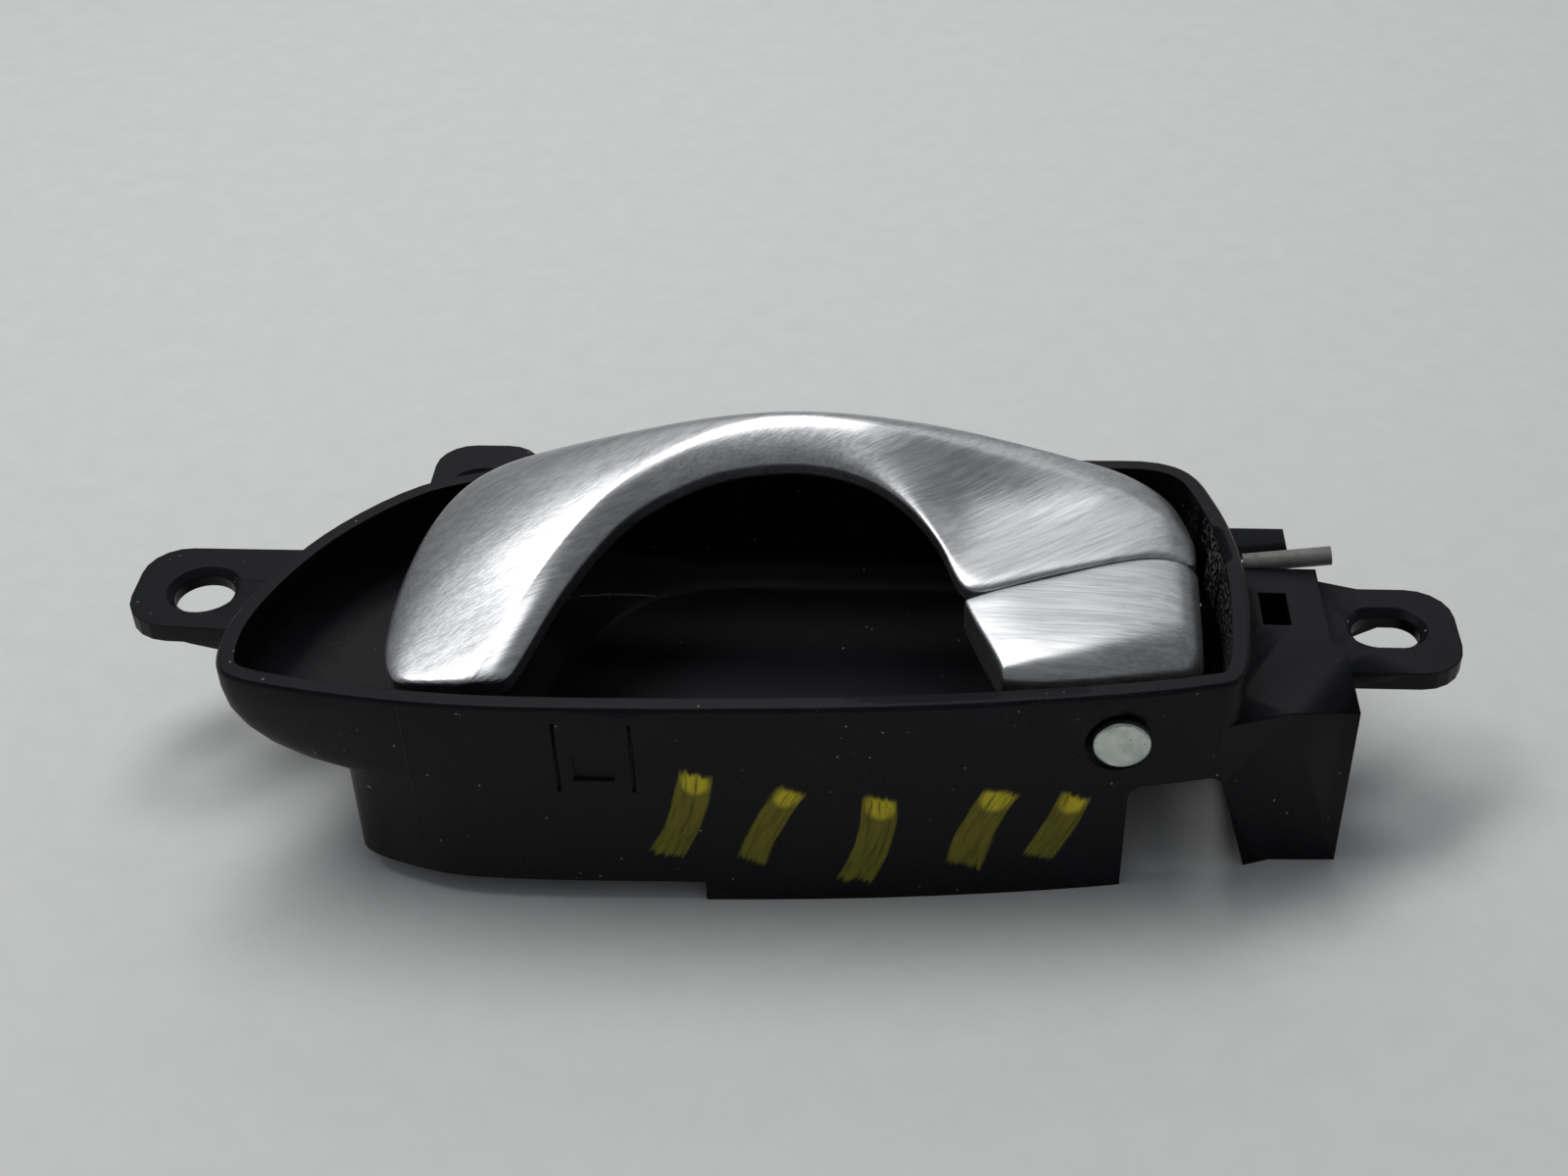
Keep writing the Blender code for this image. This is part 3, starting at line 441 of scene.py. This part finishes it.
def lofted_cap(name, sections):
    """Thin cap: a chain of edges is extruded along the sections, the two ends are filled and
    the skin is rounded and given its wall.  The underside stays open for the core."""
    bm = bmesh.new()
    verts = [bm.verts.new(p) for p in sections[0]]
    chain = [bm.edges.new(pair) for pair in zip(verts, verts[1:])]
    bm.faces.new(verts)
    for section in sections[1:]:
        grown = bmesh.ops.extrude_edge_only(bm, edges=chain)["geom"]
        fresh = {v for v in grown if isinstance(v, bmesh.types.BMVert)}
        chain = [e for e in grown if isinstance(e, bmesh.types.BMEdge)
                 and e.verts[0] in fresh and e.verts[1] in fresh]
        verts = [next(e.other_vert(v) for e in v.link_edges if e.other_vert(v) in fresh)
                 for v in verts]
        for vert, point in zip(verts, section):
            vert.co = point
    bm.faces.new(verts)
    bmesh.ops.recalc_face_normals(bm, faces=bm.faces)
    top = max(bm.faces, key=lambda f: f.calc_center_median().z)
    if top.normal.z < 0:
        bmesh.ops.reverse_faces(bm, faces=bm.faces)
    mesh = bpy.data.meshes.new(name)
    bm.to_mesh(mesh)
    bm.free()
    for polygon in mesh.polygons:
        polygon.use_smooth = True
    piece = bpy.data.objects.new(name, mesh)
    bpy.context.scene.collection.objects.link(piece)
    smooth = piece.modifiers.new("rounding", "SUBSURF")
    smooth.levels = CAP_ROUNDING
    smooth.render_levels = CAP_ROUNDING
    wall = piece.modifiers.new("wall", "SOLIDIFY")
    wall.thickness = CAP_SKIN
    wall.offset = -1
    return piece


def metres(point):
    """A point in millimetres, brought to the object's own place in metres."""
    return Vector((point[0], point[1] + CENTRE_Y, point[2])) * 0.001


lever_sections = []
tracks = [curve_through(track, 2) for track in (OUTER_EDGE, CREST, FINGER_EDGE)]
rises = curve_through([r[:3] for r in RISES], 2), curve_through([r[3:] for r in RISES], 2)
last = len(tracks[0]) - 1
lip = Vector((0, 0, EDGE_HEIGHT))
for i, (outer, crest, finger) in enumerate(zip(*tracks)):
    tail = max(0.0, (i / last - TAIL_FROM) / (1 - TAIL_FROM))
    drop = SKIRT + TAIL_DROP * tail
    up = [Vector((0, 0, r)) for r in tuple(rises[0][i]) + tuple(rises[1][i])]
    crest = crest - lip * SINK * max(0.0, 1 - i / SINK_STATIONS)
    section = [outer - Vector((0, 0, drop)), outer - lip, outer]
    section += [outer.lerp(crest, share) + up[k] * part for share, k, part in OUTER_STEPS]
    section += [crest]
    section += [crest.lerp(finger, share) + up[k] * part for share, k, part in FINGER_STEPS]
    section += [finger, finger - lip, finger - Vector((0, 0, drop * (0.55 + 0.45 * tail)))]
    lever_sections.append([metres(p) for p in section])
lever = lofted_cap("release_lever_cap", lever_sections)


def brushed_silver(name, stretch, turn, tone_low, tone_high):
    """Satin silver with brush lines along one direction, fine scratches and a few specks."""
    finish, shader, place = new_finish(name, metallic=1.0, coat=0.12, coat_roughness=0.22)
    along = place.placed(turn=turn).placed(stretch=stretch)
    lines = along.noise(2800, 3, 0.6)
    broad = along.noise(620, 3, 0.5)
    cloud = place.noise(45, 3, 0.5)
    flaws = place.placed(turn=(0, 0, 0.5), stretch=(1, 9, 1)).cells(240).under(0.035, 0.012)
    nicks = flaws * place.noise(190, 2).over(0.58, 0.03)
    specks = place.cells(760).under(0.07, 0.02) * place.noise(260, 2).over(0.63, 0.02)
    colour = (lines * 0.6 + broad * 0.4).over(0.5, 0.17).blend(tone_low, tone_high)
    colour = (nicks * 0.5).blend(colour, (0.92, 0.92, 0.92, 1))
    feed(shader, "Base Color", (specks * 0.9).blend(colour, (0.03, 0.03, 0.03, 1)))
    feed(shader, "Roughness", 0.30 + lines * 0.10 + cloud * 0.05 + specks * 0.3)
    feed(shader, "Metallic", 1.0 - specks)
    feed(shader, "Normal", relief(lines * 0.7 + broad * 0.3 - nicks * 0.5, 0.000036, None, 0.7))
    return finish


lever_silver = brushed_silver("brushed_silver_lever", (0.05, 1.0, 1.0), (0, 0, -0.62),
                              (0.46, 0.465, 0.475, 1), (0.68, 0.69, 0.70, 1))
lever.data.materials.append(lever_silver)
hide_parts("release_lever")
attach(lever, "lever")

# ---------------------------------------------------------------------------------------------
# Lock knob.  The matching cap beside the seam: a flat brushed top that swells to a rounded
# front, with a rolled front face.  It swings on the same pin and rides on the lever.
# ---------------------------------------------------------------------------------------------
SEAM_SIDE = [(26.8, -19.8, 39.2), (32, -17.6, 39.6), (37, -15.6, 39.6), (42, -13.6, 39.6),
             (47, -11.6, 39.6), (52, -9.8, 39.4), (56.4, -8.8, 38.9), (59.6, -8.6, 37.6),
             (61.5, -8.6, 35.4)]
FRONT_SIDE = [(32.2, -34.2, 36.0), (36.0, -34.4, 36.2), (40, -34.1, 36.2), (44, -33.5, 36.2),
              (48, -32.6, 35.9), (52, -31.6, 35.5), (55.6, -30.6, 35.0), (58.8, -29.6, 34.4),
              (60.8, -28.2, 33.2)]
KNOB_CREST = [(32.2, -33.0, 38.0), (36, -32.0, 38.7), (40, -30.8, 39.0), (44, -29.4, 39.2),
              (48, -27.8, 39.3), (52, -26.4, 39.2), (55.6, -25.4, 38.9), (58.8, -24.6, 38.0),
              (60.8, -24.2, 35.4)]
HELD_SHARE = 0.25               # an extra section this far in keeps each end crisp
knob_sections = []
up = Vector((0, 0, 1))
knob_tracks = [curve_through(track, 2) for track in (SEAM_SIDE, KNOB_CREST, FRONT_SIDE)]
for seam, crest, front in zip(*knob_tracks):
    roll = front.lerp(crest, 0.55) + up * (crest.z - front.z) * 0.24
    section = [seam - up * 5.0, seam - up * 0.8, seam, seam.lerp(crest, 0.12) + up * 0.1,
               seam.lerp(crest, 0.5) + up * 0.1, seam.lerp(crest, 0.8) + up * 0.25, crest, roll,
               front + up * 0.3, front - up * 0.9, front - up * 3.0]
    knob_sections.append([metres(p) for p in section])
held_ends = [[p.lerp(q, HELD_SHARE) for p, q in zip(knob_sections[end], knob_sections[near])]
             for end, near in ((0, 1), (-1, -2))]
knob_sections.insert(1, held_ends[0])
knob_sections.insert(-1, held_ends[1])
knob = lofted_cap("lock_knob_cap", knob_sections)
knob_silver = brushed_silver("brushed_silver_knob", (0.04, 1.0, 1.0), (0, 0, 0.06),
                             (0.43, 0.435, 0.44, 1), (0.66, 0.67, 0.675, 1))
knob.data.materials.append(knob_silver)
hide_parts("lock_knob")
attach(knob, "knob")

# ---------------------------------------------------------------------------------------------
# Bench and light.  A pale painted board, a large soft overhead light a little to the back, a
# lower one behind, and a dim, even surround.  None of it belongs to the handle.
# ---------------------------------------------------------------------------------------------
bench_finish, bench_shader, place = new_finish("pale_painted_board")
dapple = place.noise(160, 4, 0.6)
feed(bench_shader, "Base Color",
     dapple.over(0.5, 0.3).blend((0.76, 0.765, 0.76, 1), (0.80, 0.805, 0.80, 1)))
feed(bench_shader, "Roughness", 0.55 + dapple * 0.2)
feed(bench_shader, "Normal", relief(dapple, 0.0004, None, 0.35))
bm = bmesh.new()
bmesh.ops.create_grid(bm, x_segments=4, y_segments=4, size=3.0)
mesh = bpy.data.meshes.new("bench")
bm.to_mesh(mesh)
bm.free()
bench = bpy.data.objects.new("bench", mesh)
bpy.context.scene.collection.objects.link(bench)
bench.data.materials.append(bench_finish)


def soft_light(name, place, target, width, height, power):
    """A rectangular lamp of the given size and power, turned to face the target."""
    lamp = bpy.data.lights.new(name, "AREA")
    lamp.shape = "RECTANGLE"
    lamp.size = width
    lamp.size_y = height
    lamp.energy = power
    holder = bpy.data.objects.new(name, lamp)
    bpy.context.scene.collection.objects.link(holder)
    holder.location = place
    holder.rotation_euler = (Vector(target) - Vector(place)).to_track_quat("-Z", "Y").to_euler()


soft_light("overhead_soft_light", (-0.21, 0.21, 0.85), (0, 0, 0.02), 0.84, 0.30, 4.5)
soft_light("back_soft_light", (0.1, 1.1, 0.75), (0, 0, 0.03), 1.4, 0.6, 1.7)
world = bpy.data.worlds.new("surround")
bpy.context.scene.world = world
world.use_nodes = True
world.node_tree.nodes["Background"].inputs["Color"].default_value = (0.80, 0.82, 0.86, 1)
world.node_tree.nodes["Background"].inputs["Strength"].default_value = 0.21

# ---------------------------------------------------------------------------------------------
# Camera.  Held in front of the handle and above it, a little to its right, with a slight roll.
# It looks down at the middle of the housing.
# ---------------------------------------------------------------------------------------------
PITCH, YAW, ROLL = (math.radians(a) for a in (38.3, 4.5, -1.8))
DISTANCE = 0.335
AIM = Vector((0, 0.004, 0.025))
level = Vector((-math.sin(YAW), math.cos(YAW), 0))
right = Vector((math.cos(YAW), math.sin(YAW), 0))
ahead = level * math.cos(PITCH) + Vector((0, 0, -math.sin(PITCH)))
above = right.cross(ahead)
side = right * math.cos(ROLL) + above * math.sin(ROLL)
head = above * math.cos(ROLL) - right * math.sin(ROLL)
spot = AIM - ahead * DISTANCE
lens = bpy.data.cameras.new("view")
lens.sensor_width = 36.0
lens.lens = 49.9275
lens.clip_start = 0.01
view = bpy.data.objects.new("view", lens)
bpy.context.scene.collection.objects.link(view)
view.matrix_world = Matrix(((side.x, head.x, -ahead.x, spot.x),
                            (side.y, head.y, -ahead.y, spot.y),
                            (side.z, head.z, -ahead.z, spot.z), (0, 0, 0, 1)))
bpy.context.scene.camera = view
bpy.context.scene.view_settings.view_transform = "Standard"

bpy.context.view_layer.update()
